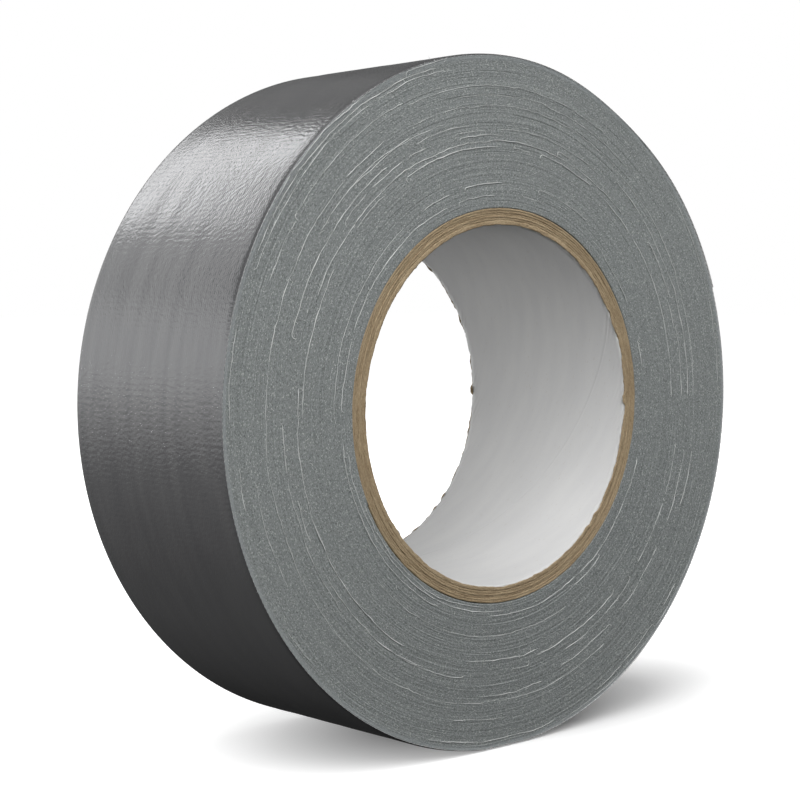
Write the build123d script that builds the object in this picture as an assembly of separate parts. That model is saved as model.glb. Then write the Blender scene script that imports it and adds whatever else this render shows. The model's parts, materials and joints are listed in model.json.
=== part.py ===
"""A standard 3 inch core roll of 50 mm x 50 m silver duct tape, standing on its rim.

Millimetres. The roll's axis is Y, its front side face looks along -Y, +Z is up, and the origin is the
centre of the core's bore. Angles are in the XZ plane, anticlockwise from +X as seen from the front.
"""

from build123d import *
import math
import os

# Core tube: a white liner ply inside brown kraft plies, glued into one wall
bore_radius = 38.1
liner_thickness = 0.5
kraft_ply_thickness = 0.5
kraft_ply_count = 6

# Tape: backing film outside, scrim cloth in the middle, adhesive on the side that faces the core
tape_width = 50.0
film_thickness = 0.08
cloth_thickness = 0.07
adhesive_thickness = 0.08
turn_count = 138

# The pack has a slight flat where it stands, as a soft roll has
resting_flat_width = 14.0

# The free end: the strip's last stretch, which lifts off the pack, bending at evenly spaced lines
free_end_angle = 20.0
tab_length = 40.0
tab_segment_count = 5
tab_gap = 0.1
tab_slit = 0.1

tape_thickness = film_thickness + cloth_thickness + adhesive_thickness
core_radius = bore_radius + liner_thickness + kraft_ply_count * kraft_ply_thickness
mean_radius = core_radius + turn_count * tape_thickness

# A wound strip's outline is two half circles whose centres lie half a thickness apart: they meet
# smoothly on one side, and leave a step of one thickness where the strip ends.
low_radius = mean_radius - 1.5 * tape_thickness
high_radius = low_radius + tape_thickness / 2
flat_sagitta = mean_radius - math.sqrt(mean_radius**2 - (resting_flat_width / 2) ** 2)


def polar(angle, radius, centre=(0.0, 0.0)):
    """The point at an angle in degrees and a radius from a centre."""
    turned = math.radians(angle)
    return (centre[0] + radius * math.cos(turned), centre[1] + radius * math.sin(turned))


high_centre = polar(free_end_angle, tape_thickness / 2)


def across_roll(face):
    """A face drawn in the roll's cross-section, made into a solid as wide as the tape."""
    return extrude(Plane.XZ * face, tape_width / 2, both=True)


def tube(inner_radius, outer_radius):
    return across_roll(Circle(outer_radius) - Circle(inner_radius))


def wound_face(offset):
    """The pack's filled outline, an offset outside the surface that the outer turn is wound on."""
    radius = low_radius + offset
    flat_height = radius - flat_sagitta
    flat_half_width = math.sqrt(radius**2 - flat_height**2)
    flat_half_angle = math.degrees(math.asin(flat_half_width / radius))
    step_top = polar(free_end_angle, high_radius + offset, high_centre)
    join = polar(free_end_angle + 180, radius)
    flat_left = (-flat_half_width, -flat_height)
    flat_right = (flat_half_width, -flat_height)
    step_foot = polar(free_end_angle, radius)
    left_middle = (free_end_angle + 180 + 270 - flat_half_angle) / 2
    right_middle = (270 + flat_half_angle + free_end_angle + 360) / 2
    return make_face(
        [
            ThreePointArc(step_top, polar(free_end_angle + 90, high_radius + offset, high_centre), join),
            ThreePointArc(join, polar(left_middle, radius), flat_left),
            Line(flat_left, flat_right),
            ThreePointArc(flat_right, polar(right_middle, radius), step_foot),
            Line(step_foot, step_top),
        ]
    )


def strip_sector(inner_radius, outer_radius, low_angle, high_angle):
    """A curved strip in cross-section, about the centre that the last half turn is wound on."""
    middle = (low_angle + high_angle) / 2
    corners = [
        polar(low_angle, inner_radius, high_centre),
        polar(low_angle, outer_radius, high_centre),
        polar(high_angle, outer_radius, high_centre),
        polar(high_angle, inner_radius, high_centre),
    ]
    return make_face(
        [
            Line(corners[0], corners[1]),
            ThreePointArc(corners[1], polar(middle, outer_radius, high_centre), corners[2]),
            Line(corners[2], corners[3]),
            ThreePointArc(corners[3], polar(middle, inner_radius, high_centre), corners[0]),
        ]
    )


# The tape's layers from the core side outwards, each with its inner and outer offset
layers = {
    "adhesive": (0.0, adhesive_thickness),
    "cloth": (adhesive_thickness, adhesive_thickness + cloth_thickness),
    "film": (adhesive_thickness + cloth_thickness, tape_thickness),
}

tab_film_radius = high_radius + tab_gap + tape_thickness
segment_angle = math.degrees(tab_length / tab_segment_count / tab_film_radius)
slit_angle = math.degrees(tab_slit / tab_film_radius)
tab_root_angle = free_end_angle + tab_segment_count * segment_angle


def core_parts():
    """The liner and the kraft plies, from the bore outwards."""
    parts = {"core_liner": tube(bore_radius, bore_radius + liner_thickness)}
    for ply in range(kraft_ply_count):
        inner_radius = bore_radius + liner_thickness + ply * kraft_ply_thickness
        parts[f"core_kraft_ply_{ply + 1}"] = tube(inner_radius, inner_radius + kraft_ply_thickness)
    return parts


def wound_tape():
    """All the turns but the last, as one solid ring with the strip's step."""
    return across_roll(wound_face(0) - Circle(core_radius))


def outer_turn_layer(inner_offset, outer_offset):
    """One layer of the last turn, which stops where the free end begins."""
    ring = wound_face(outer_offset) - wound_face(inner_offset)
    room = strip_sector(
        high_radius - tape_thickness / 4,
        high_radius + 2 * tape_thickness,
        free_end_angle,
        tab_root_angle + slit_angle / 2,
    )
    return across_roll(ring - room)


def tab_layer(segment, inner_offset, outer_offset):
    """One layer of one stretch of the free end, counted from the root that stays on the pack."""
    high_angle = tab_root_angle - segment * segment_angle - slit_angle / 2
    low_angle = high_angle - segment_angle + slit_angle
    lift = high_radius + tab_gap
    return across_roll(strip_sector(lift + inner_offset, lift + outer_offset, low_angle, high_angle))


os.makedirs("parts", exist_ok=True)

parts = core_parts()
parts["tape_winding"] = wound_tape()
for layer, offsets in layers.items():
    parts[f"outer_turn_{layer}"] = outer_turn_layer(*offsets)
for segment in range(tab_segment_count):
    for layer, offsets in layers.items():
        parts[f"free_end_{segment + 1}_{layer}"] = tab_layer(segment, *offsets)

for name, part in parts.items():
    export_step(part, f"parts/{name}.step")

# The bend lines of the free end lie on the film's outer face, so the strip opens without overlap
for segment in range(tab_segment_count):
    bend = polar(tab_root_angle - segment * segment_angle, tab_film_radius, high_centre)
    print(f"free end bend line {segment + 1}: x {bend[0]:.4f}, z {bend[1]:.4f}")
print(f"standing height {low_radius + tape_thickness - flat_sagitta:.4f}")
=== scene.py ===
import json
import math

import bpy
import numpy as np
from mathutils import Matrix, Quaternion, Vector


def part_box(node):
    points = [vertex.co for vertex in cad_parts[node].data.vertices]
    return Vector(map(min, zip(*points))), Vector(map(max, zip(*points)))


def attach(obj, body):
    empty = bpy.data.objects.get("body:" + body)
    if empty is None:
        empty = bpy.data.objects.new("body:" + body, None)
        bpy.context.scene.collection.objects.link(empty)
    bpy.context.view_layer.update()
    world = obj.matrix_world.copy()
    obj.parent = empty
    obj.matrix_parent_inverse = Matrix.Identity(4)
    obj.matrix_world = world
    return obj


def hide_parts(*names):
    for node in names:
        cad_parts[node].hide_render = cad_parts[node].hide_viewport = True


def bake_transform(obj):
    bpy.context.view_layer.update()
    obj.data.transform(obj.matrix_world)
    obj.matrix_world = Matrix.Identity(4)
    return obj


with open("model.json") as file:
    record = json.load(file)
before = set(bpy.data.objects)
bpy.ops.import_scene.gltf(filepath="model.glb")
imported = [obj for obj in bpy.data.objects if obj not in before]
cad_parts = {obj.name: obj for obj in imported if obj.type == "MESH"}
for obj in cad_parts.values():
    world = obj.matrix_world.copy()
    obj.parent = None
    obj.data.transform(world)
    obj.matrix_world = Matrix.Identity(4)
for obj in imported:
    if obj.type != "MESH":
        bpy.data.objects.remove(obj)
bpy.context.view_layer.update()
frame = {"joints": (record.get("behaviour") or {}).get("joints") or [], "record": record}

# Looks for a roll of 50 mm silver duct tape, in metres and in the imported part's frame: the roll's axis is
# Y, its front side face looks along -Y, and angles are in degrees from +X towards +Z. Travel is how far
# back along the strip a place lies from the free end, also in degrees round the roll.

rng = np.random.default_rng(5)
MM = 0.001

# ---------------------------------------------------------------- sizes from the frame

mounts = {mount["name"]: mount for mount in frame["record"]["mounts"]}
BORE_RADIUS = mounts["core_bore"]["dims"]["r_mm"] * MM
WIDTH = mounts["core_bore"]["dims"]["length_mm"] * MM
HALF_WIDTH = WIDTH / 2
STAND_HEIGHT = -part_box("outer_turn_film")[0].z

PLY_COUNT = 6
LINER_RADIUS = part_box("core_liner")[1].x
PLY_RADII = [LINER_RADIUS] + [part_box(f"core_kraft_ply_{ply}")[1].x for ply in range(1, PLY_COUNT + 1)]
CORE_RADIUS = PLY_RADII[-1]

# The layers' tops in hundredths of a millimetre, the tape's thickness, which follows from the film's in
# the frame, and each layer's share of it from the core side outwards
ADHESIVE_TOP, CLOTH_TOP, FILM_TOP = 8, 15, 23
outer_layer_tops = {layer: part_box(f"outer_turn_{layer}")[0].x for layer in ("cloth", "film")}
FILM_THICKNESS = outer_layer_tops["cloth"] - outer_layer_tops["film"]
THICKNESS = FILM_THICKNESS * FILM_TOP / (FILM_TOP - CLOTH_TOP)
LAYERS = {
    "adhesive": (0.0, ADHESIVE_TOP / FILM_TOP),
    "cloth": (ADHESIVE_TOP / FILM_TOP, CLOTH_TOP / FILM_TOP),
    "film": (CLOTH_TOP / FILM_TOP, 1.0),
}
LAYER_SLOTS = {"adhesive": "grey_adhesive", "cloth": "scrim_cloth", "film": "silver_film"}

BENDS = [Vector(joint["pos_m"]) for joint in frame["joints"]]
bend_angles = [math.degrees(math.atan2(bend.z, bend.x)) for bend in BENDS]
SEGMENT = (bend_angles[0] - bend_angles[-1]) / (len(BENDS) - 1)
FREE_END_ANGLE = bend_angles[-1] - SEGMENT
ROOT_TRAVEL = bend_angles[0] - FREE_END_ANGLE

# The strip is one even spiral: its outer face falls by one thickness for each turn of travel. The CAD's
# free end, and so the bends on its outer face, lies a little off the pack.
CAD_GAP = 0.1 * MM
END_RADIUS = BENDS[-1].length - CAD_GAP
TURNS = (END_RADIUS - THICKNESS - CORE_RADIUS) / THICKNESS


# ---------------------------------------------------------------- random heights

def ease(part):
    return part * part * (3.0 - 2.0 * part)


class Terrain:
    """Smooth random heights over a length and a width, one knot for each cell."""

    def __init__(self, length, width, cell_length, cell_width, amount):
        self.cells = (cell_length, cell_width)
        self.knots = rng.normal(0.0, amount, (int(length / cell_length) + 3, int(width / cell_width) + 3))

    def __call__(self, along, across):
        along, across = np.broadcast_arrays(along / self.cells[0], across / self.cells[1])
        column = np.clip(along.astype(int), 0, self.knots.shape[0] - 2)
        row = np.clip(across.astype(int), 0, self.knots.shape[1] - 2)
        part_column = ease(np.clip(along - column, 0.0, 1.0))
        part_row = ease(np.clip(across - row, 0.0, 1.0))
        near = self.knots[column, row] * (1 - part_row) + self.knots[column, row + 1] * part_row
        far = self.knots[column + 1, row] * (1 - part_row) + self.knots[column + 1, row + 1] * part_row
        return near * (1 - part_column) + far * part_column


def wander(places, cell, amount):
    """Smooth random steps along a line that starts at 0."""
    return Terrain(places.max(), 0.0, cell, 1.0, amount)(places, np.zeros_like(places))


def ring_wander(angles, cells, amount):
    """Smooth random steps round a ring, whose two ends meet."""
    knots = rng.normal(0.0, amount, cells)
    place = (angles % 360.0) / 360.0 * cells
    knot = place.astype(int) % cells
    part = ease(place - place.astype(int))
    return knots[knot] * (1 - part) + knots[(knot + 1) % cells] * part


# ---------------------------------------------------------------- the roll's shape

# How far the pack's front is out of round, in mm: its lean to one side, its oval, and a dent, each with
# its angle, and the dent with its width. The back is round.
LEAN = (0.55, 19.0)
OVAL = (0.35, -37.0)
DENT = (-0.8, 60.0, 14.0)
# The tape stands a little off the core here: the gap in mm, its middle and its width, and how fast the
# turns outside it close it
CORE_GAP = (0.22, 52.0, 26.0)
GAP_FALL = 30.0
# No place that faces down by less than this reaches the floor
LEAST_DOWN = 0.3
# The outer turns' edges roll towards the core: how far, over how much of the width, and how deep down
EDGE_DROOP = 0.25 * MM
DROOP_WIDTH = 1.1 * MM
DROOP_DEPTH = 1.2 * MM


def bell(angle, middle, width):
    away = (angle - middle + 180.0) % 360.0 - 180.0
    return np.exp(-((away / width) ** 2))


def shaped(radius, angle, y):
    """A radius after the pack's lean, oval, dent and standing flat, and the droop of the tape's edges."""
    depth = np.clip((radius - CORE_RADIUS) / (END_RADIUS - CORE_RADIUS), 0.0, 1.1)
    swell = LEAN[0] * np.cos(np.radians(angle - LEAN[1]))
    swell = swell + OVAL[0] * np.cos(np.radians(2.0 * (angle - OVAL[1])))
    swell = (swell + DENT[0] * bell(angle, DENT[1], DENT[2])) * MM * (0.5 - y / WIDTH)
    gap = CORE_GAP[0] * MM * bell(angle, CORE_GAP[1], CORE_GAP[2]) * np.exp(-depth * GAP_FALL)
    down = np.maximum(-np.sin(np.radians(angle)), LEAST_DOWN)
    press = np.minimum(1.0, STAND_HEIGHT / (down * (END_RADIUS + swell)))
    out = (radius + depth**1.5 * swell + gap) * (1.0 - depth**3 * (1.0 - press))
    edge = np.clip((np.abs(y) - HALF_WIDTH + DROOP_WIDTH) / DROOP_WIDTH, 0.0, 1.2)
    return out - EDGE_DROOP * edge**2 * np.exp((np.minimum(radius, END_RADIUS) - END_RADIUS) / DROOP_DEPTH)


def polar(radius, angle, y):
    """Points in the part's frame."""
    radius, turned, y = np.broadcast_arrays(radius, np.radians(angle), y)
    return np.stack([radius * np.cos(turned), y, radius * np.sin(turned)], axis=-1)


# ---------------------------------------------------------------- meshes

def make_piece(name, points, faces, uvs, body=None, nodes=(), slot="", smooth=True):
    """A piece from points, lists of faces by corner count, and their corners' UVs in millimetres."""
    corners = np.concatenate([face.reshape(-1) for face in faces]).astype(np.int32)
    counts = np.concatenate([np.full(len(face), face.shape[1]) for face in faces]).astype(np.int32)
    mesh = bpy.data.meshes.new(name)
    mesh.vertices.add(len(points))
    mesh.vertices.foreach_set("co", points.astype(np.float32).reshape(-1))
    mesh.loops.add(len(corners))
    mesh.loops.foreach_set("vertex_index", corners)
    mesh.polygons.add(len(counts))
    mesh.polygons.foreach_set("loop_start", (np.cumsum(counts) - counts).astype(np.int32))
    mesh.update(calc_edges=True)
    mesh.uv_layers.new(name="UVMap")
    corner_uvs = np.concatenate([uv.reshape(-1) for uv in uvs]).astype(np.float32)
    mesh.uv_layers[0].data.foreach_set("uv", corner_uvs)
    mesh.validate()
    if smooth:
        mesh.shade_smooth()
    piece = bpy.data.objects.new(name, mesh)
    bpy.context.scene.collection.objects.link(piece)
    if body:
        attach(piece, body)
    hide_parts(*nodes)
    return piece


def grid_faces(rows, columns, closed):
    """Quads of a closed profile (rows) swept along columns, and each corner's row and column."""
    steps = columns if closed else columns - 1
    grid = np.meshgrid(np.arange(rows), np.arange(steps), indexing="ij")
    row, column = (side.reshape(-1) for side in grid)
    corner_rows = np.stack([row, row, row + 1, row + 1], axis=1)
    corner_columns = np.stack([column, column + 1, column + 1, column], axis=1)
    return (corner_rows % rows) * columns + corner_columns % columns, corner_rows, corner_columns


def sweep(name, points, along, around, closed, **keys):
    """A solid from a profile swept round the roll: points is rows x columns x 3, along and around are mm."""
    rows, columns = points.shape[:2]
    quads, corner_rows, corner_columns = grid_faces(rows, columns, closed)
    uvs = np.stack([along[corner_columns], around[corner_rows]], axis=-1)
    faces, face_uvs = [quads], [uvs]
    if not closed:
        first = np.arange(rows)[None, :] * columns
        for cap in (first, first[:, ::-1] + columns - 1):
            faces.append(cap)
            face_uvs.append(np.zeros(cap.shape + (2,)))
    piece = make_piece(name, points.reshape(-1, 3), faces, face_uvs, **keys)
    for cap in list(piece.data.polygons)[len(quads):]:
        cap.use_smooth = False
    return piece


RIM_ROWS = 3


def box_profile(face_ys, rim_rows, inner_rows=2):
    """A thin wall's profile from its back inner corner: (share of the wall, y) for each row."""
    ys = np.sort(face_ys)[::-1]
    up = np.linspace(0.0, 1.0, rim_rows + 1)[:-1]
    inner = np.linspace(ys[-1], ys[0], inner_rows + 1)[:-1]
    share = np.concatenate([up, np.ones(len(ys)), up[::-1][: rim_rows - 1], np.zeros(inner_rows)])
    y = np.concatenate([np.full(rim_rows, ys[0]), ys, np.full(rim_rows - 1, ys[-1]), inner])
    return share[:, None], y[:, None]


# ---------------------------------------------------------------- core

LINER_COLUMNS = 720
LINER_ROWS = 40
# The liner's seam slants by one degree round the roll for this much width, and its lap is a low ridge
# with a shallow hollow beside it
SEAM_TILT = -0.348 * MM
SEAM_ANGLE = -41.0
SEAM_RIDGE, SEAM_RIDGE_WIDTH = 0.06 * MM, 0.5
SEAM_HOLLOW, SEAM_HOLLOW_ANGLE, SEAM_HOLLOW_WIDTH = 0.04 * MM, 1.5, 2.0
LINER_SETBACK = 0.30 * MM


def core_liner():
    """The white ply: columns run along its slanting seam, and its cut edges are a little ragged."""
    share, y = box_profile(np.linspace(-HALF_WIDTH, HALF_WIDTH, LINER_ROWS + 1), RIM_ROWS, LINER_ROWS)
    base = SEAM_ANGLE + np.arange(LINER_COLUMNS) * 360.0 / LINER_COLUMNS
    angle = base[None, :] + y / SEAM_TILT
    along = np.arange(LINER_COLUMNS + 1) * 2.0 * np.pi * BORE_RADIUS / LINER_COLUMNS / MM
    inner = BORE_RADIUS - ring_wander(angle, 18, 0.012 * MM)
    from_seam = (base - SEAM_ANGLE + 180.0) % 360.0 - 180.0
    ridge = SEAM_RIDGE * np.exp(-((from_seam / SEAM_RIDGE_WIDTH) ** 2))
    hollow = SEAM_HOLLOW * np.exp(-np.abs(from_seam - SEAM_HOLLOW_ANGLE) / SEAM_HOLLOW_WIDTH)
    inner = inner + ridge - hollow
    # 1 at the cut edges, falling to 0 over the last eighth of the half width
    nearness = np.clip(np.abs(y) / HALF_WIDTH * 8.0 - 7.0, 0.0, 1.0)
    ragged = ring_wander(angle, 300, 0.10 * MM) + ring_wander(angle, 60, 0.10 * MM)
    tufts = np.clip(ring_wander(angle, 210, 0.22 * MM), 0.0, None)
    radius = inner * (1.0 - share) + LINER_RADIUS * share - (1.0 - share) * nearness * tufts * 0.6
    y = y - np.sign(y) * nearness * (LINER_SETBACK + np.abs(ragged))
    around = np.append(y[:, 0], y[0, 0]) / MM
    return sweep(
        "core_liner_paper", polar(radius, angle, y), along, around, True,
        body="roll", nodes=["core_liner"], slot="white_liner",
    )


PLY_COLUMNS = 720
# How far each ply's cut edge lies behind the side face, and the glue lines behind that, in mm
PLY_SETBACKS = (0.02, 0.05, 0.0, 0.12, 0.03, 0.0)
GLUE_LINE_DEPTH = 0.07
PLY_RIM = np.array([0.0, 0.12, 0.3, 0.5, 0.7, 0.88, 1.0])


def core_ply(ply):
    """One kraft ply: its cut edges bulge between the glue lines and are furred by torn fibres."""
    share = np.concatenate([PLY_RIM, PLY_RIM[::-1], [0.0, 0.0]])[:, None]
    side = np.concatenate([np.ones(len(PLY_RIM)), -np.ones(len(PLY_RIM)), [-0.97, 0.97]])[:, None]
    cut = (np.abs(side) == 1.0).astype(float)
    angle = np.arange(PLY_COLUMNS)[None, :] * 360.0 / PLY_COLUMNS
    inner, outer = PLY_RADII[ply], PLY_RADII[ply + 1]
    setback = (PLY_SETBACKS[ply] + GLUE_LINE_DEPTH * (2.0 * share - 1.0) ** 4) * MM
    fur = np.zeros((len(share), PLY_COLUMNS))
    for row in range(len(share)):
        fur[row] = ring_wander(angle[0], 360, 0.05 * MM) + ring_wander(angle[0], 90, 0.05 * MM)
    y = side * (HALF_WIDTH - (setback + np.abs(fur)) * cut)
    radius = inner + (outer - inner) * share + ring_wander(angle, 120, 0.02 * MM) * cut
    if ply == 0:
        # The first ply laps over the liner's cut edge, in ragged tongues on the right
        tongues = ring_wander(angle, 120, 0.30 * MM) + ring_wander(angle, 300, 0.12 * MM)
        lap = (0.44 * MM + tongues * (0.12 + bell(angle, -10.0, 50.0))).clip(0.0, 1.1 * MM)
        radius = radius - (1.0 - share) ** 0.5 * lap * cut
    along = np.arange(PLY_COLUMNS + 1) * 2.0 * np.pi * outer / PLY_COLUMNS / MM
    around = (np.append(share[:, 0], 0.0) + ply) * (outer - inner) / MM
    return sweep(
        f"core_kraft_edge_{ply + 1}", polar(radius, angle, y), along, around, True,
        body="roll", nodes=[f"core_kraft_ply_{ply + 1}"], slot="kraft_board",
    )


# ---------------------------------------------------------------- wound tape

# Steps to a turn. At the side faces each turn's edge is a ridge, with a groove at the seams beside it.
WOUND_STEPS = 160
GROOVE_DEPTH = 0.09 * MM
CREST_SHARE = 0.55
CREST_SETBACK = 0.02 * MM


def wound_rows(travel, count):
    """The running length, and four rows of points: a seam and a crest at each side face."""
    seam_radius = END_RADIUS - THICKNESS * (travel / 360.0 + 1.0)
    crest_radius = seam_radius + THICKNESS * CREST_SHARE
    angle = FREE_END_ANGLE + travel
    length = np.concatenate([[0.0], np.cumsum(seam_radius[1:])]) * math.radians(360.0 / WOUND_STEPS)
    drift = wander(length, 70 * MM, 0.018 * MM) + wander(length, 8 * MM, 0.02 * MM)
    drift = drift + rng.normal(0.0, 0.008 * MM, len(length))
    deep = HALF_WIDTH - GROOVE_DEPTH * (1.0 + 0.5 * rng.random(len(length)))
    rows = []
    for side in (-1.0, 1.0):
        seam = polar(shaped(seam_radius, angle, side * deep), angle, side * deep + drift)
        crest_y = side * (HALF_WIDTH - CREST_SETBACK)
        crest = polar(shaped(crest_radius, angle, crest_y), angle, crest_y + drift)
        rows += [seam, crest[: count + 1]]
    return length, rows


def wound_edge(seam, crest, step, length, flip):
    """One side face of the strip: from each seam up to its crest, and down to the next turn's seam."""
    span = np.stack([length[step], length[step + 1], length[step + 1], length[step]], axis=1)
    faces, uvs = [], []
    for low, high, share in ((seam, crest, 0.0), (crest, seam + WOUND_STEPS, 0.5)):
        quads = np.stack([low + step, low + step + 1, high + step + 1, high + step], axis=1)
        turn = step / WOUND_STEPS + share
        rise = np.stack([turn, turn, turn + 0.5, turn + 0.5], axis=1) * THICKNESS
        faces.append(quads[:, ::flip])
        uvs.append(np.stack([span, rise], axis=-1)[:, ::flip] / MM)
    return faces, uvs


def wound_wall(starts, begin, flip):
    """The wall across the width that closes the pack, one turn round from a step."""
    front_seam, front_crest, back_seam, back_crest = (start + begin for start in starts)
    ring = np.arange(WOUND_STEPS + 1)
    front = np.append(front_seam + ring, front_crest)
    back = np.append(back_seam + ring, back_crest)
    return np.stack([front, back, np.roll(back, -1), np.roll(front, -1)], axis=1)[:, ::flip]


def wound_tape():
    """Every turn below the outer one, as one long wound strip whose edges stand as ridges."""
    first = 360.0 * TURNS
    last = ROOT_TRAVEL + 360.0
    count = int((first - last) / 360.0 * WOUND_STEPS)
    travel = first - np.arange(count + WOUND_STEPS + 1) * 360.0 / WOUND_STEPS
    length, rows = wound_rows(travel, count)
    starts = np.cumsum([0] + [len(row) for row in rows[:-1]])
    step = np.arange(count)
    faces, uvs = [], []
    for seam, crest, flip in ((*starts[:2], 1), (*starts[2:], -1)):
        edge_faces, edge_uvs = wound_edge(seam, crest, step, length, flip)
        faces += edge_faces
        uvs += edge_uvs
    for begin, flip in ((0, 1), (count, -1)):
        wall = wound_wall(starts, begin, flip)
        faces.append(wall)
        uvs.append(np.zeros(wall.shape + (2,)))
    return make_piece(
        "wound_turns", np.concatenate(rows), faces, uvs,
        body="roll", nodes=["tape_winding"], slot="wound_edges", smooth=False,
    )


# ---------------------------------------------------------------- outer turn and free end

OUTER_COLUMNS = 1280
TAB_COLUMNS = 22
# The last column at each end is a sliver in degrees, so that the shading turns into the cut end only there
END_COLUMN = 0.01
FACE_ROWS = 54
# Rows across the adhesive's inner face, where the gauze shows
GAUZE_ROWS = 30
WEFT_PITCH = 1.2 * MM
WARP_PITCH = 1.3 * MM
GAUZE_RELIEF = 0.010 * MM
# The strip's edges in mm: how far the cloth's weft ends reach out of the side face, how far back the cloth
# lies between them, and how far back the adhesive lies
WEFT_END_REACH = 0.02
WEFT_GAP_SETBACK = 0.08
ADHESIVE_SETBACK = 0.12
FREE_END_LIFT = 0.20 * MM
# One degree of travel, as a length
ARC = math.radians(END_RADIUS)
# The rows across the width: close together near the two edges, and even between them
EDGE_BAND = 0.9 * MM
edge_ys = np.array([0.0, 0.06, 0.15, 0.28, 0.45, 0.65]) * MM
inner_ys = np.linspace(-HALF_WIDTH + EDGE_BAND, HALF_WIDTH - EDGE_BAND, FACE_ROWS)
FACE_YS = np.concatenate([edge_ys - HALF_WIDTH, inner_ys, HALF_WIDTH - edge_ys[::-1]])

# The film lies a little unevenly, within these limits, and is flat at its edges
LOWEST, HIGHEST = -0.08 * MM, 0.15 * MM
strip_length = (ROOT_TRAVEL + 360.0) * ARC
bands = Terrain(strip_length, WIDTH, 90 * MM, 4.0 * MM, 0.025 * MM)
waves = Terrain(strip_length, WIDTH, 26 * MM, 16 * MM, 0.018 * MM)
wrinkles = Terrain(strip_length, WIDTH, 3.0 * MM, 2.0 * MM, 0.0035 * MM)
rib_bow = Terrain(strip_length, WIDTH, 7 * MM, 3.5 * MM, 0.30 * MM)
rib_height = Terrain(strip_length, WIDTH, 4 * MM, 3.0 * MM, 0.0003 * MM)


def strip_radius(travel, share, y):
    """The radius at a place in the strip and a share of its thickness, from its adhesive side."""
    end = np.clip(1.0 - travel / ROOT_TRAVEL, 0.0, 1.0)
    along, across = travel * ARC, y + HALF_WIDTH
    inside = np.clip((HALF_WIDTH - np.abs(y)) / (2.0 * MM), 0.0, 1.0)
    uneven = np.clip(bands(along, across) + waves(along, across), LOWEST, HIGHEST) * inside
    return END_RADIUS - THICKNESS * (travel / 360.0 + 1.0 - share) + FREE_END_LIFT * end**1.5 + uneven


def film_relief(travel, y):
    """What the film's outer face shows of the weave below it."""
    along, across = travel * ARC, y + HALF_WIDTH
    ribs = np.cos(2.0 * np.pi * (along + rib_bow(along, across)) / WEFT_PITCH)
    inside = np.clip((HALF_WIDTH - np.abs(y)) / MM, 0.0, 1.0)
    return (wrinkles(along, across) + rib_height(along, across) * ribs) * inside


def weave_relief(travel, y):
    """The gauze standing out through the adhesive."""
    along, across = travel * ARC, y + HALF_WIDTH
    weft = np.cos(2.0 * np.pi * (along + rib_bow(along, across)) / WEFT_PITCH)
    warp = np.cos(2.0 * np.pi * across / WARP_PITCH)
    return GAUZE_RELIEF * np.maximum(weft, warp)


def strip_layer(name, layer, low_travel, high_travel, columns, **keys):
    """One layer of a stretch of the strip, with its rims rolled over towards the core."""
    low, high = LAYERS[layer]
    share, y = box_profile(FACE_YS, RIM_ROWS, GAUZE_ROWS if layer == "adhesive" else 2)
    travel = np.linspace(low_travel, high_travel, columns + 1)
    ends = [low_travel + END_COLUMN, high_travel - END_COLUMN]
    travel = np.insert(travel, [1, columns], ends)[None, :]
    angle = FREE_END_ANGLE + travel
    if layer == "cloth":
        teeth = np.cos(2.0 * np.pi * travel * ARC / WEFT_PITCH)
        setback = WEFT_GAP_SETBACK - (WEFT_GAP_SETBACK + WEFT_END_REACH) * np.clip(teeth, 0.0, 1.0)
        y = y * (1.0 - setback * MM / HALF_WIDTH)
    elif layer == "adhesive":
        y = y * (1.0 - ADHESIVE_SETBACK * MM / HALF_WIDTH)
    radius = shaped(strip_radius(travel, low + (high - low) * share, y), angle, y)
    if layer == "film":
        radius = radius + film_relief(travel, y) * share
    elif layer == "adhesive":
        radius = radius - np.minimum(weave_relief(travel, y), 0.0) * (1.0 - share)
    y = np.broadcast_to(y, radius.shape)
    around = np.append(y[:, 0], y[0, 0]) / MM
    return sweep(name, polar(radius, angle, y), travel[0] * ARC / MM, around, False, **keys)


def outer_turn():
    pieces = {}
    for layer in LAYERS:
        columns = OUTER_COLUMNS if layer != "adhesive" else OUTER_COLUMNS // 2
        pieces[layer] = strip_layer(
            f"outer_turn_{layer}_wrap", layer, ROOT_TRAVEL, ROOT_TRAVEL + 360.0, columns,
            body="roll", nodes=[f"outer_turn_{layer}"], slot=LAYER_SLOTS[layer],
        )
    return pieces


def free_end():
    """The strip's last stretch: each piece spans one joint, and meets its neighbours mid-segment."""
    pieces = {layer: [] for layer in LAYERS}
    for number, joint in enumerate(frame["joints"]):
        start = ROOT_TRAVEL - max(number - 0.5, 0.0) * SEGMENT
        bent = ROOT_TRAVEL - (number + 0.5) * SEGMENT
        end = 0.0 if joint is frame["joints"][-1] else bent
        columns = int(TAB_COLUMNS * (start - end) / SEGMENT)
        places = [polar(END_RADIUS, FREE_END_ANGLE + travel, 0.0) for travel in (start, bent)]
        for layer in LAYERS:
            piece = strip_layer(
                f"free_end_{number + 1}_{layer}_bend", layer, end, start, columns,
                nodes=[f"free_end_{number + 1}_{layer}"], slot=LAYER_SLOTS[layer],
            )
            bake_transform(piece)
            pieces[layer].append(piece)
    return pieces


# ---------------------------------------------------------------- loose yarns

# A direction that no thread runs along, from which each of its rings starts
RING_START = (0.6, 0.0, 0.8)


def tube_rings(line, radii, turn):
    """Rings of points round a line, square to it."""
    tangent = np.gradient(line, axis=0)
    tangent /= np.linalg.norm(tangent, axis=1)[:, None]
    across = np.cross(tangent, RING_START)
    across /= np.linalg.norm(across, axis=1)[:, None]
    upward = np.cross(across, tangent)
    ring = across[:, None] * np.cos(turn)[None, :, None] + upward[:, None] * np.sin(turn)[None, :, None]
    return (line[:, None] + ring * radii[:, None, None]).reshape(-1, 3)


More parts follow.
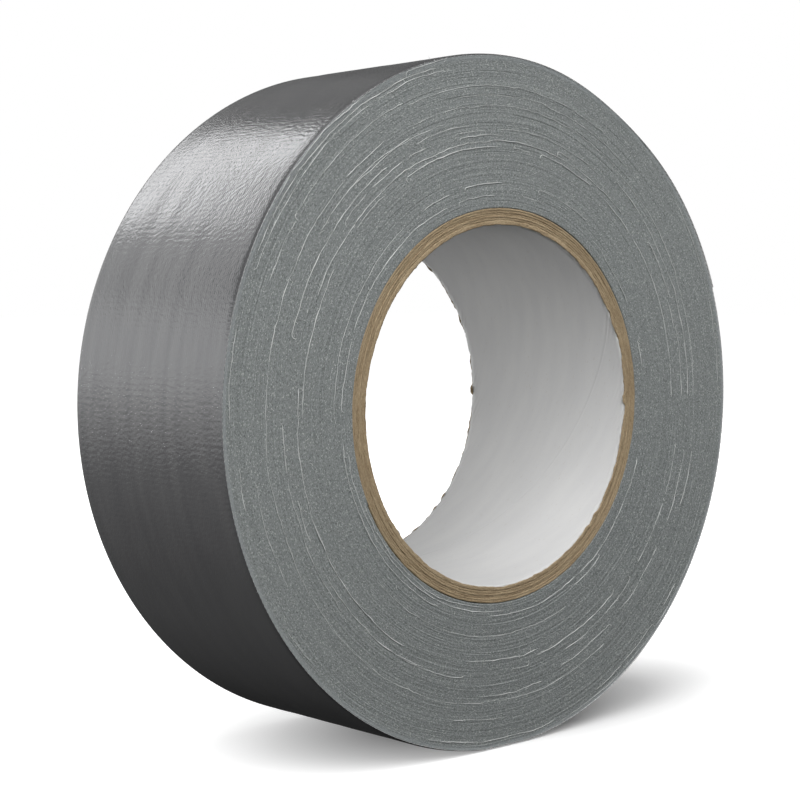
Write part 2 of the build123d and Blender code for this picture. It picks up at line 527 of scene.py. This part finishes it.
def tube_faces(line, sides):
    """The quads between a line's rings, and their UVs: the length in mm and the share of the way round."""
    grid = np.meshgrid(np.arange(len(line) - 1), np.arange(sides), indexing="ij")
    step, side = (part.reshape(-1) for part in grid)
    next_side = (side + 1) % sides
    near, far = step * sides, (step + 1) * sides
    quads = np.stack([near + side, near + next_side, far + next_side, far + side], axis=1)
    length = np.concatenate([[0.0], np.cumsum(np.linalg.norm(np.diff(line, axis=0), axis=1))]) / MM
    span = np.stack([length[step], length[step], length[step + 1], length[step + 1]], axis=1)
    around = np.stack([side, side + 1, side + 1, side], axis=1) / sides
    return quads[:, ::-1], np.stack([span, around], axis=-1)[:, ::-1]


def tubes(name, lines, sides, **keys):
    """Thin round threads along lines of points, each line with its radii."""
    points, faces, uvs, caps = [], [], [], []
    turn = 2.0 * np.pi * np.arange(sides) / sides
    base = 0
    for line, radii in lines:
        points.append(tube_rings(line, radii, turn))
        quads, quad_uvs = tube_faces(line, sides)
        faces.append(base + quads)
        uvs.append(quad_uvs)
        for cap in (np.arange(sides), np.arange(sides)[::-1] + (len(line) - 1) * sides):
            caps.append(base + cap)
        base += len(points[-1])
    faces = [np.concatenate(faces), np.array(caps)]
    uvs = [np.concatenate(uvs), np.zeros((len(caps), sides, 2))]
    return make_piece(name, np.concatenate(points), faces, uvs, **keys)


# Yarns that have come away from the front side face, listed: radius in mm, first and last angle,
# weight (1 to 3), and 1 where the end is hooked
FRONT_YARNS = (
    (71.0, 0, 43, 1, 0), (72.8, 103, 112, 2, 1), (72.9, 120, 148, 2, 0), (71.7, 106, 154, 2, 0),
    (70.8, 103, 119, 2, 1), (70.8, 121, 138, 2, 0), (70.7, 138, 156, 2, 1), (71.6, 166, 180, 1, 0),
    (67.6, 115, 145, 2, 1), (67.1, 146, 157, 2, 0), (66.9, 60, 114, 1, 0), (64.9, 54, 102, 1, 0),
    (62.7, 56, 114, 1, 0), (63.0, 122, 133, 2, 0), (62.9, 134, 180, 2, 0), (62.0, 0, 56, 1, 0),
    (59.9, 0, 54, 2, 1), (60.4, 107, 132, 2, 0), (60.8, 116, 145, 2, 1), (59.1, 100, 115, 2, 0),
    (58.6, 124, 164, 2, 1), (57.6, 0, 16, 2, 1), (57.8, 23, 37, 2, 1), (56.9, 16, 23, 2, 0),
    (58.0, 59, 92, 1, 0), (57.6, 96, 104, 2, 1), (57.3, 113, 118, 2, 0), (57.4, 120, 139, 2, 1),
    (56.7, 91, 103, 2, 1), (56.6, 68, 73, 2, 1), (55.4, 49, 101, 2, 0), (55.4, 101, 155, 3, 0),
    (55.4, 174, 180, 2, 0), (54.2, 0, 55, 3, 0), (54.3, 61, 78, 3, 1), (54.2, 82, 88, 2, 0),
    (54.3, 92, 120, 3, 1), (54.2, 128, 138, 2, 0), (54.1, 148, 180, 3, 0), (46.9, 58, 77, 2, 1),
    (46.9, 91, 104, 3, 1), (46.4, 110, 120, 2, 0), (46.4, 127, 180, 1, 0), (44.4, 9, 17, 3, 0),
    (44.4, 29, 53, 1, 0), (44.5, 75, 83, 2, 1), (44.3, 94, 107, 2, 1), (44.4, 112, 158, 2, 0),
    (44.4, 161, 178, 2, 1), (71.3, 215, 222, 2, 0), (71.3, 252, 282, 2, 1), (69.9, 187, 194, 2, 0),
    (70.9, 294, 312, 2, 1), (70.8, 317, 322, 2, 0), (72.1, 284, 331, 1, 0), (66.6, 190, 209, 1, 0),
    (66.6, 257, 271, 1, 0), (63.0, 180, 300, 1, 0), (62.9, 336, 348, 2, 0), (61.5, 263, 281, 2, 0),
    (60.3, 287, 303, 2, 1), (60.3, 308, 325, 2, 0), (60.2, 331, 347, 2, 1), (59.0, 181, 190, 2, 0),
    (59.0, 190, 221, 1, 0), (57.6, 196, 205, 2, 0), (57.6, 212, 246, 2, 0), (57.7, 232, 257, 2, 1),
    (57.5, 289, 314, 2, 1), (56.9, 319, 349, 2, 0), (56.7, 272, 277, 2, 1), (55.4, 180, 239, 3, 0),
    (55.4, 280, 308, 2, 1), (54.1, 259, 281, 2, 0), (48.7, 224, 293, 1, 0), (46.0, 298, 310, 3, 1),
    (44.6, 187, 245, 2, 0), (44.5, 264, 342, 2, 0), (43.4, 190, 270, 2, 0), (42.6, 205, 262, 2, 0),
)
YARN_RADII = {1: 0.04 * MM, 2: 0.055 * MM, 3: 0.07 * MM}
YARN_SIDES = 5
YARN_STEP = 0.7
# A hook's points, and their least and greatest spacing in mm
HOOK_POINTS = 7
HOOK_STEPS = (0.10, 0.24)


def hook(side, tip):
    """The curl at a yarn's tip, mostly towards the core and a little off the side face."""
    heading = np.linspace(0.1, rng.uniform(0.9, 2.0), HOOK_POINTS)
    outward = tip * (1.0, 0.0, 1.0) / np.linalg.norm(tip * (1.0, 0.0, 1.0))
    onward = np.array((-outward[2], 0.0, outward[0]))
    swing = rng.choice((-1.0, -1.0, -1.0, 1.0))
    steps = np.cos(heading)[:, None] * onward + swing * np.sin(heading)[:, None] * outward
    steps = steps + side * np.array((0.0, rng.uniform(0.0, 0.3), 0.0))
    return tip + np.cumsum(steps, axis=0) * rng.uniform(*HOOK_STEPS) * MM


def yarn_line(side, radius, first, last, weight, hooked):
    """A loose yarn's centre line and radii: it wanders a little, lies on the edges and may end in a hook."""
    span = math.radians(last - first) * radius
    angle = np.linspace(first, last, max(int(span / YARN_STEP), 6))
    places = np.arange(len(angle)) * YARN_STEP * MM
    waver = wander(places, 5.0 * MM, 0.11 * MM) + wander(places, 1.4 * MM, 0.06 * MM)
    proud = wander(places, 5.0 * MM, 0.06 * MM) + 0.035 * MM
    y = side * (HALF_WIDTH + proud)
    line = polar(shaped(radius * MM + waver, angle, y * 0.9), angle, y)
    radii = YARN_RADII[weight] * np.clip(1.0 + 0.35 * wander(places, 2.5 * MM, 1.0), 0.25, 1.6)
    if hooked:
        line = np.concatenate([line, hook(side, line[-1])])
        radii = np.concatenate([radii, np.full(HOOK_POINTS, radii[-1])])
    radii[[0, -1]] *= 0.4
    return line, radii


FIBRE_COUNT = 600
FIBRE_SIDES = 3
FIBRE_POINTS = 7


def fuzz_lines(side, count, yarns):
    """Single fibres, curled, that stand off the side face along the loose yarns and anywhere on it."""
    lines = []
    for number in range(count):
        if number % 3:
            radius, first, last = yarns[rng.integers(len(yarns))][:3]
            angle = rng.uniform(first, last)
            radius = radius + rng.normal(0.0, 0.25)
        else:
            angle = rng.uniform(0.0, 360.0)
            radius = rng.uniform(CORE_RADIUS / MM + 1.0, END_RADIUS / MM - 1.0)
        length = rng.uniform(0.3, 1.3)
        curl = np.cumsum(rng.normal(0.0, 0.55, FIBRE_POINTS))
        heading = curl + rng.choice((0.0, np.pi)) + rng.normal(0.0, 0.5)
        along = np.cumsum(np.cos(heading)) * length / FIBRE_POINTS
        out = radius + np.cumsum(np.sin(heading)) * length / FIBRE_POINTS
        proud = np.linspace(0.0, rng.uniform(0.03, 0.35), FIBRE_POINTS) * MM
        y = side * (HALF_WIDTH + proud)
        angles = angle + np.degrees(along / radius)
        radii = np.full(FIBRE_POINTS, rng.uniform(0.022, 0.045) * MM)
        lines.append((polar(shaped(out * MM, angles, y * 0.9), angles, y), radii))
    return lines


BACK_YARN_COUNT = 60
SHEDDING_RADII = (44.4, 46.4, 54.2, 55.4, 57.6, 60.4, 62.8, 66.8, 70.9, 72.3)


def back_yarns():
    """The back's own loose yarns, at the radii in mm where the pack sheds them."""
    yarns = []
    for _ in range(BACK_YARN_COUNT):
        radius = rng.choice(SHEDDING_RADII) + rng.normal(0.0, 0.2)
        first = rng.uniform(0.0, 360.0)
        yarns.append((radius, first, first + rng.uniform(6.0, 50.0), rng.integers(1, 4), rng.random() < 0.4))
    return yarns


def loose_yarns():
    pieces = []
    for place, side, yarns in (("front", -1.0, FRONT_YARNS), ("back", 1.0, back_yarns())):
        lines = [yarn_line(side, *yarn) for yarn in yarns]
        pieces.append(tubes(f"loose_yarns_{place}", lines, YARN_SIDES, body="roll", slot="scrim_cloth"))
        lines = fuzz_lines(side, FIBRE_COUNT, yarns)
        pieces.append(tubes(f"loose_fibres_{place}", lines, FIBRE_SIDES, body="roll", slot="scrim_cloth"))
    return pieces


# ---------------------------------------------------------------- materials

class NodeTree:
    """Makes nodes: add() links the inputs that are given as sockets and sets the rest."""

    def __init__(self, tree):
        self.nodes = tree.nodes
        self.links = tree.links

    def add(self, kind, inputs=None, **settings):
        node = self.nodes.new(kind)
        for setting, value in settings.items():
            setattr(node, setting, value)
        for socket, value in (inputs or {}).items():
            if isinstance(value, bpy.types.NodeSocket):
                self.links.new(value, node.inputs[socket])
            else:
                node.inputs[socket].default_value = value
        return node


class Look(NodeTree):
    """A material, whose patterns are laid out by the UV in millimetres."""

    def __init__(self, name, settings):
        self.material = bpy.data.materials.new(name)
        self.material.use_nodes = True
        super().__init__(self.material.node_tree)
        self.shader = self.nodes["Principled BSDF"]
        for socket, value in settings.items():
            self.shader.inputs[socket].default_value = value
        self.uv = self.add("ShaderNodeUVMap").outputs["UV"]

    def scaled(self, along, across):
        """The UV, squeezed so that one unit is this many millimetres each way."""
        inputs = {0: self.uv, 1: (1.0 / along, 1.0 / across, 1.0)}
        return self.add("ShaderNodeVectorMath", inputs, operation="MULTIPLY").outputs["Vector"]

    def noise(self, along, across, detail=2.0, roughness=0.5):
        """A noise whose blobs are about this long and wide in millimetres."""
        inputs = {
            "Vector": self.scaled(along, across), "Scale": 1.0,
            "Detail": detail, "Roughness": roughness,
        }
        return self.add("ShaderNodeTexNoise", inputs, noise_dimensions="2D").outputs["Fac"]

    def ribs(self, direction, pitch, distortion=0.0):
        """Soft ridges at a pitch in millimetres, along the strip (X) or across it (Y)."""
        inputs = {
            "Vector": self.uv, "Scale": math.pi / 10.0 / pitch, "Distortion": distortion,
            "Detail": 1.0, "Detail Scale": 0.6,
        }
        return self.add("ShaderNodeTexWave", inputs, bands_direction=direction).outputs["Fac"]

    def spread(self, value, low, high, new_low=0.0, new_high=1.0):
        """A range of a value's, spread over a new range and held there outside it."""
        inputs = {"Value": value, "From Min": low, "From Max": high, "To Min": new_low, "To Max": new_high}
        return self.add("ShaderNodeMapRange", inputs).outputs["Result"]

    def vary(self, noise, new_low=0.0, new_high=1.0):
        """The middle range of a noise, where most of it lies, spread over a new range."""
        return self.spread(noise, 0.3, 0.7, new_low, new_high)

    def blend(self, share, first, second):
        """A mix of two colours, each of them a socket or three numbers."""
        inputs = {0: share}
        for socket, tint in ((6, first), (7, second)):
            inputs[socket] = tint if isinstance(tint, bpy.types.NodeSocket) else (*tint, 1.0)
        return self.add("ShaderNodeMix", inputs, data_type="RGBA").outputs[2]

    def total(self, *parts):
        """The sum of (value, share) pairs."""
        out = None
        for value, share in parts:
            term = self.add("ShaderNodeMath", {0: value, 1: share}, operation="MULTIPLY").outputs[0]
            out = term if out is None else self.add("ShaderNodeMath", {0: out, 1: term}).outputs[0]
        return out

    def finish(self, colour, roughness, height, depth):
        """Links colour and roughness, and a bump whose full height is depth in millimetres."""
        bump = self.add("ShaderNodeBump", {"Height": height, "Strength": 1.0, "Distance": depth * MM})
        self.links.new(colour, self.shader.inputs["Base Color"])
        self.links.new(roughness, self.shader.inputs["Roughness"])
        self.links.new(bump.outputs["Normal"], self.shader.inputs["Normal"])
        return self.material


def silver_film():
    """Aluminium-grey polythene, glossy, pressed into the weave below."""
    look = Look("silver_film", {"Metallic": 0.75, "IOR": 1.5})
    dark, light = (0.320, 0.322, 0.330), (0.365, 0.367, 0.372)
    clouds = look.noise(14.0, 5.0, 3.0)
    streaks = look.noise(70.0, 2.4, 2.0)
    grain = look.noise(0.3, 0.3, 2.0)
    tone = look.total((clouds, 0.4), (streaks, 0.4), (grain, 0.2))
    colour = look.blend(look.spread(tone, 0.35, 0.65), dark, light)
    roughness = look.vary(look.total((clouds, 0.6), (grain, 0.4)), 0.19, 0.27)
    weft = look.ribs("X", WEFT_PITCH / MM, 2.0)
    warp = look.ribs("Y", WARP_PITCH / MM / 2.0, 2.0)
    knots = look.add("ShaderNodeMath", {0: weft, 1: warp}, operation="MULTIPLY").outputs[0]
    crinkle = look.noise(0.8, 1.1, 2.0)
    height = look.total((knots, 0.16), (crinkle, 0.82), (grain, 0.02))
    return look.finish(colour, roughness, height, 0.070)


# The outermost edges carry a painted pale bluish highlight: the band's width and how far its inner edge
# fades, in mm
RIM_BAND, RIM_FADE = 1.5, 0.6


def wound_edges():
    """The cut edges of all the turns: grey adhesive and film with the ends of white weft yarns, and a
    painted highlight on the outermost band.
    """
    look = Look("wound_edges", {"IOR": 1.45})
    dark, light = (0.148, 0.162, 0.160), (0.306, 0.328, 0.324)
    yarn_end, pale_fleck, dark_fleck = (0.50, 0.52, 0.51), (0.62, 0.64, 0.62), (0.050, 0.058, 0.058)
    # The last colour here is a painted highlight: the pale bluish light that the rounded outer rim catches
    painted_rim_highlight = (0.35, 0.375, 0.385)
    rings = look.noise(120.0, 0.7, 2.0)
    broad = look.noise(300.0, 3.0, 1.0)
    speckle = look.noise(0.26, 0.22, 3.0, 0.7)
    dots_in = {"Vector": look.scaled(0.9, 0.23), "Scale": 1.0}
    dots = look.add("ShaderNodeTexVoronoi", dots_in, voronoi_dimensions="2D").outputs["Distance"]
    ends = look.spread(dots, 0.12, 0.42, 1.0, 0.0)
    tone = look.total((rings, 0.15), (broad, 0.20), (speckle, 0.65))
    colour = look.blend(look.spread(tone, 0.33, 0.67), dark, light)
    colour = look.blend(look.spread(ends, 0.0, 1.0, 0.0, 0.25), colour, yarn_end)
    flecks = look.noise(0.42, 0.32, 1.0)
    colour = look.blend(look.spread(flecks, 0.66, 0.72, 0.0, 0.6), colour, pale_fleck)
    colour = look.blend(look.spread(flecks, 0.36, 0.29, 0.0, 0.6), colour, dark_fleck)
    height_in_pack = look.add("ShaderNodeSeparateXYZ", {0: look.uv}).outputs["Y"]
    pack = (END_RADIUS - CORE_RADIUS) / MM
    # Painted highlight: the outermost band of the side face is blended towards the pale bluish tint
    rim_highlight_share = look.spread(height_in_pack, pack - RIM_BAND, pack - RIM_BAND + RIM_FADE, 0.0, 0.5)
    colour = look.blend(rim_highlight_share, colour, painted_rim_highlight)
    roughness = look.vary(speckle, 0.50, 0.68)
    height = look.total((speckle, 0.6), (ends, 0.4))
    return look.finish(colour, roughness, height, 0.05)


def white_liner():
    """Uncoated white paper with faint specks and fibre clouds."""
    look = Look("white_liner", {"IOR": 1.45})
    dark, light, speck = (0.605, 0.605, 0.605), (0.635, 0.635, 0.63), (0.42, 0.36, 0.29)
    clouds = look.noise(9.0, 7.0, 4.0)
    fibres = look.noise(0.9, 0.25, 3.0)
    specks = look.noise(0.7, 0.7, 1.0)
    colour = look.blend(look.vary(clouds), dark, light)
    colour = look.blend(look.spread(specks, 0.76, 0.82, 0.0, 0.35), colour, speck)
    roughness = look.vary(fibres, 0.70, 0.88)
    return look.finish(colour, roughness, look.total((fibres, 0.6), (clouds, 0.4)), 0.03)


def kraft_board():
    """Brown board cut across: long fibres along the ply, torn and pale where they stand out."""
    look = Look("kraft_board", {"IOR": 1.4})
    dark, light = (0.225, 0.158, 0.088), (0.480, 0.380, 0.245)
    fibres = look.noise(0.9, 0.10, 3.0, 0.6)
    clouds = look.noise(6.0, 0.6, 3.0)
    pits = look.noise(0.35, 0.14, 1.0)
    tone = look.total((fibres, 0.5), (clouds, 0.3), (pits, 0.2))
    colour = look.blend(look.spread(tone, 0.33, 0.67), dark, light)
    roughness = look.vary(fibres, 0.78, 0.95)
    return look.finish(colour, roughness, look.total((fibres, 0.6), (pits, 0.4)), 0.12)


def grey_adhesive():
    """Tacky grey rubber with the gauze showing through."""
    look = Look("grey_adhesive", {"IOR": 1.5, "Coat Weight": 0.25, "Coat Roughness": 0.3})
    dark, light = (0.235, 0.245, 0.245), (0.400, 0.415, 0.412)
    weft = look.ribs("X", WEFT_PITCH / MM, 0.6)
    warp = look.ribs("Y", WARP_PITCH / MM, 0.6)
    crown = look.add("ShaderNodeMath", {0: weft, 1: warp}, operation="MAXIMUM").outputs[0]
    patches = look.noise(4.0, 4.0, 3.0)
    grain = look.noise(0.2, 0.2, 2.0)
    tone = look.total((crown, 0.5), (patches, 0.3), (grain, 0.2))
    colour = look.blend(look.spread(tone, 0.25, 0.80), dark, light)
    roughness = look.vary(patches, 0.38, 0.58)
    return look.finish(colour, roughness, look.total((crown, 0.6), (patches, 0.25), (grain, 0.15)), 0.05)


def scrim_cloth():
    """Pale cotton yarn, spun, with stray fibres."""
    look = Look("scrim_cloth", {"Sheen Weight": 0.3})
    dark, light = (0.55, 0.565, 0.56), (0.80, 0.81, 0.80)
    twist = look.noise(0.35, 0.20, 2.0)
    soil = look.noise(5.0, 3.0, 2.0)
    tone = look.total((twist, 0.5), (soil, 0.5))
    colour = look.blend(look.spread(tone, 0.35, 0.65), dark, light)
    roughness = look.vary(twist, 0.65, 0.85)
    return look.finish(colour, roughness, twist, 0.03)


# ---------------------------------------------------------------- floor, light and camera

FLOOR_REACH = 6.0
# The floor's glow fades out in an oval round the line the roll stands on, longer to the right, a painted
# shadow in which the lamps' own shadows also show: how far its inside and its outside are from the middle,
# and how much of the floor's own glow is left there
SHADE_SQUEEZE = (1.0, 2.0, 0.0)
SHADE_SHIFT = (-0.032, 0.004, 0.0)
SHADE_INSIDE, SHADE_OUTSIDE = 0.035, 0.11
GLOW_INSIDE, GLOW_OUTSIDE = 0.02, 1.0


def plain_floor():
    """A floor that glows white, but for a painted shadow oval round the roll, where the lamps' own shadows
    also show.
    """
    corners = [
        (x * FLOOR_REACH, y * FLOOR_REACH, -STAND_HEIGHT)
        for x, y in ((-1, -1), (1, -1), (1, 1), (-1, 1))
    ]
    mesh = bpy.data.meshes.new("floor")
    mesh.from_pydata(corners, [], [(0, 1, 2, 3)])
    floor = bpy.data.objects.new("floor", mesh)
    bpy.context.scene.collection.objects.link(floor)
    grey, white = (0.8, 0.8, 0.8, 1.0), (1.0, 1.0, 1.0, 1.0)
    look = Look("floor", {"Base Color": grey, "Roughness": 0.9, "Emission Color": white})
    place = look.add("ShaderNodeTexCoord").outputs["Object"]
    inputs = {0: place, 1: SHADE_SQUEEZE, 2: SHADE_SHIFT}
    painted_shadow_oval = look.add("ShaderNodeVectorMath", inputs, operation="MULTIPLY_ADD").outputs["Vector"]
    away = look.add("ShaderNodeVectorMath", {0: painted_shadow_oval}, operation="LENGTH").outputs["Value"]
    # Painted shadow: the glow fades out inside the oval near the roll
    glow = look.spread(away, SHADE_INSIDE, SHADE_OUTSIDE, GLOW_INSIDE, GLOW_OUTSIDE)
    look.links.new(glow, look.shader.inputs["Emission Strength"])
    mesh.materials.append(look.material)
    floor.visible_diffuse = False
    floor.visible_glossy = False


# Each soft light: its name, its direction from the roll, its distance, width and height in metres, its
# power in watts, and its turn about its own aim in degrees
SOFT_LIGHTS = (
    ("key", (-0.055, 0.80, 0.56), 1.2, 0.47, 0.25, 0.86, -40.0),
    ("key_glow", (-0.36, 0.75, 0.50), 1.25, 0.40, 0.40, 0.24, 0.0),
    ("upper_glow", (0.36, 0.78, 0.52), 1.25, 0.36, 0.36, 0.058, 0.0),
    ("front", (-0.30, -0.75, 0.95), 0.8, 1.1, 0.8, 8.8, 0.0),
    ("through_bore", (-0.35, 0.93, -0.02), 1.0, 0.5, 0.1, 4.5, 0.0),
    ("top", (0.1, 0.0, 1.0), 1.2, 1.4, 1.4, 1.3, 0.0),
    ("far_side", (0.95, 0.15, 0.30), 0.9, 0.9, 0.9, 2.5, 0.0),
)
UNREFLECTED_LIGHTS = ("through_bore",)


def soft_light(name, direction, distance, width, height, power, turn):
    """A rectangular studio light, aimed at the roll."""
    lamp = bpy.data.lights.new(name, "AREA")
    lamp.shape = "RECTANGLE"
    lamp.size = width
    lamp.size_y = height
    lamp.energy = power
    light = bpy.data.objects.new(name, lamp)
    bpy.context.scene.collection.objects.link(light)
    light.location = Vector(direction).normalized() * distance
    light.rotation_mode = "QUATERNION"
    aim = light.location.to_track_quat("Z", "Y")
    light.rotation_quaternion = aim @ Quaternion((0.0, 0.0, 1.0), math.radians(turn))
    light.visible_glossy = name not in UNREFLECTED_LIGHTS


# How bright the studio is from straight down (0) to straight up (1)
STUDIO_LEVELS = (
    (0.0, 0.01), (0.20, 0.06), (0.36, 0.13), (0.47, 0.42), (0.53, 0.72),
    (0.64, 0.70), (0.71, 0.11), (0.80, 0.06), (1.0, 0.10),
)
# It dims to the right, down to this share of its brightness where a direction's X has reached this much
DIM_SHARE, DIM_REACH = 0.17, 0.45


def studio_ramp(ramp):
    """Puts the studio's levels on a colour ramp, in place of the two stops that it starts with."""
    ramp.interpolation = "EASE"
    ramp.elements.remove(ramp.elements[1])
    for place, level in STUDIO_LEVELS:
        ramp.elements.new(place).color = (level, level, level, 1.0)
    ramp.elements.remove(ramp.elements[0])


def surroundings():
    """White where the camera looks, and a grey studio, dark below, for the light on the roll."""
    world = bpy.data.worlds.new("studio")
    bpy.context.scene.world = world
    world.use_nodes = True
    tree = NodeTree(world.node_tree)
    tree.nodes.clear()
    direction = tree.add("ShaderNodeTexCoord").outputs["Generated"]
    parts = tree.add("ShaderNodeSeparateXYZ", {0: direction}).outputs
    rise = tree.add("ShaderNodeMapRange", {"Value": parts["Z"], "From Min": -1.0}).outputs["Result"]
    ramp = tree.add("ShaderNodeValToRGB", {"Fac": rise})
    studio_ramp(ramp.color_ramp)
    dimming = {"Value": parts["X"], "From Max": DIM_REACH, "To Min": 1.0, "To Max": DIM_SHARE}
    strength = tree.add("ShaderNodeMapRange", dimming).outputs["Result"]
    studio_look = {"Color": ramp.outputs["Color"], "Strength": strength}
    studio = tree.add("ShaderNodeBackground", studio_look).outputs[0]
    backdrop = tree.add("ShaderNodeBackground", {"Color": (1.0, 1.0, 1.0, 1.0)}).outputs[0]
    seen = tree.add("ShaderNodeLightPath").outputs["Is Camera Ray"]
    mix = tree.add("ShaderNodeMixShader", {0: seen, 1: studio, 2: backdrop}).outputs[0]
    tree.add("ShaderNodeOutputWorld", {"Surface": mix})


# The camera stands to the left of the front side face, a little above the roll's axis
CAMERA_AZIMUTH, CAMERA_ELEVATION = math.radians(-42.1), math.radians(3.5)
CAMERA_DISTANCE = 0.387
LENS, SENSOR_WIDTH = 78.6, 36.0
LENS_SHIFT = (-0.0313, 0.0012)


def studio_camera():
    back = Vector((
        math.sin(CAMERA_AZIMUTH) * math.cos(CAMERA_ELEVATION),
        -math.cos(CAMERA_AZIMUTH) * math.cos(CAMERA_ELEVATION),
        math.sin(CAMERA_ELEVATION),
    ))
    data = bpy.data.cameras.new("camera")
    data.lens = LENS
    data.sensor_width = SENSOR_WIDTH
    data.shift_x, data.shift_y = LENS_SHIFT
    data.clip_start = 0.01
    data.clip_end = 50.0
    camera = bpy.data.objects.new("camera", data)
    bpy.context.scene.collection.objects.link(camera)
    camera.location = back * CAMERA_DISTANCE
    camera.rotation_mode = "QUATERNION"
    camera.rotation_quaternion = back.to_track_quat("Z", "Y")
    bpy.context.scene.camera = camera


studio_camera()
plain_floor()
surroundings()
for soft in SOFT_LIGHTS:
    soft_light(*soft)
bpy.context.scene.view_settings.view_transform = "Standard"

liner = core_liner()
plies = [core_ply(ply) for ply in range(PLY_COUNT)]
winding = wound_tape()
wrap = outer_turn()
tab = free_end()
yarns = loose_yarns()

for pieces, material in (
    ([liner], white_liner()),
    (plies, kraft_board()),
    ([winding], wound_edges()),
    ([wrap["film"], *tab["film"]], silver_film()),
    ([wrap["adhesive"], *tab["adhesive"]], grey_adhesive()),
    ([wrap["cloth"], *tab["cloth"], *yarns], scrim_cloth()),
):
    for piece in pieces:
        piece.data.materials.append(material)
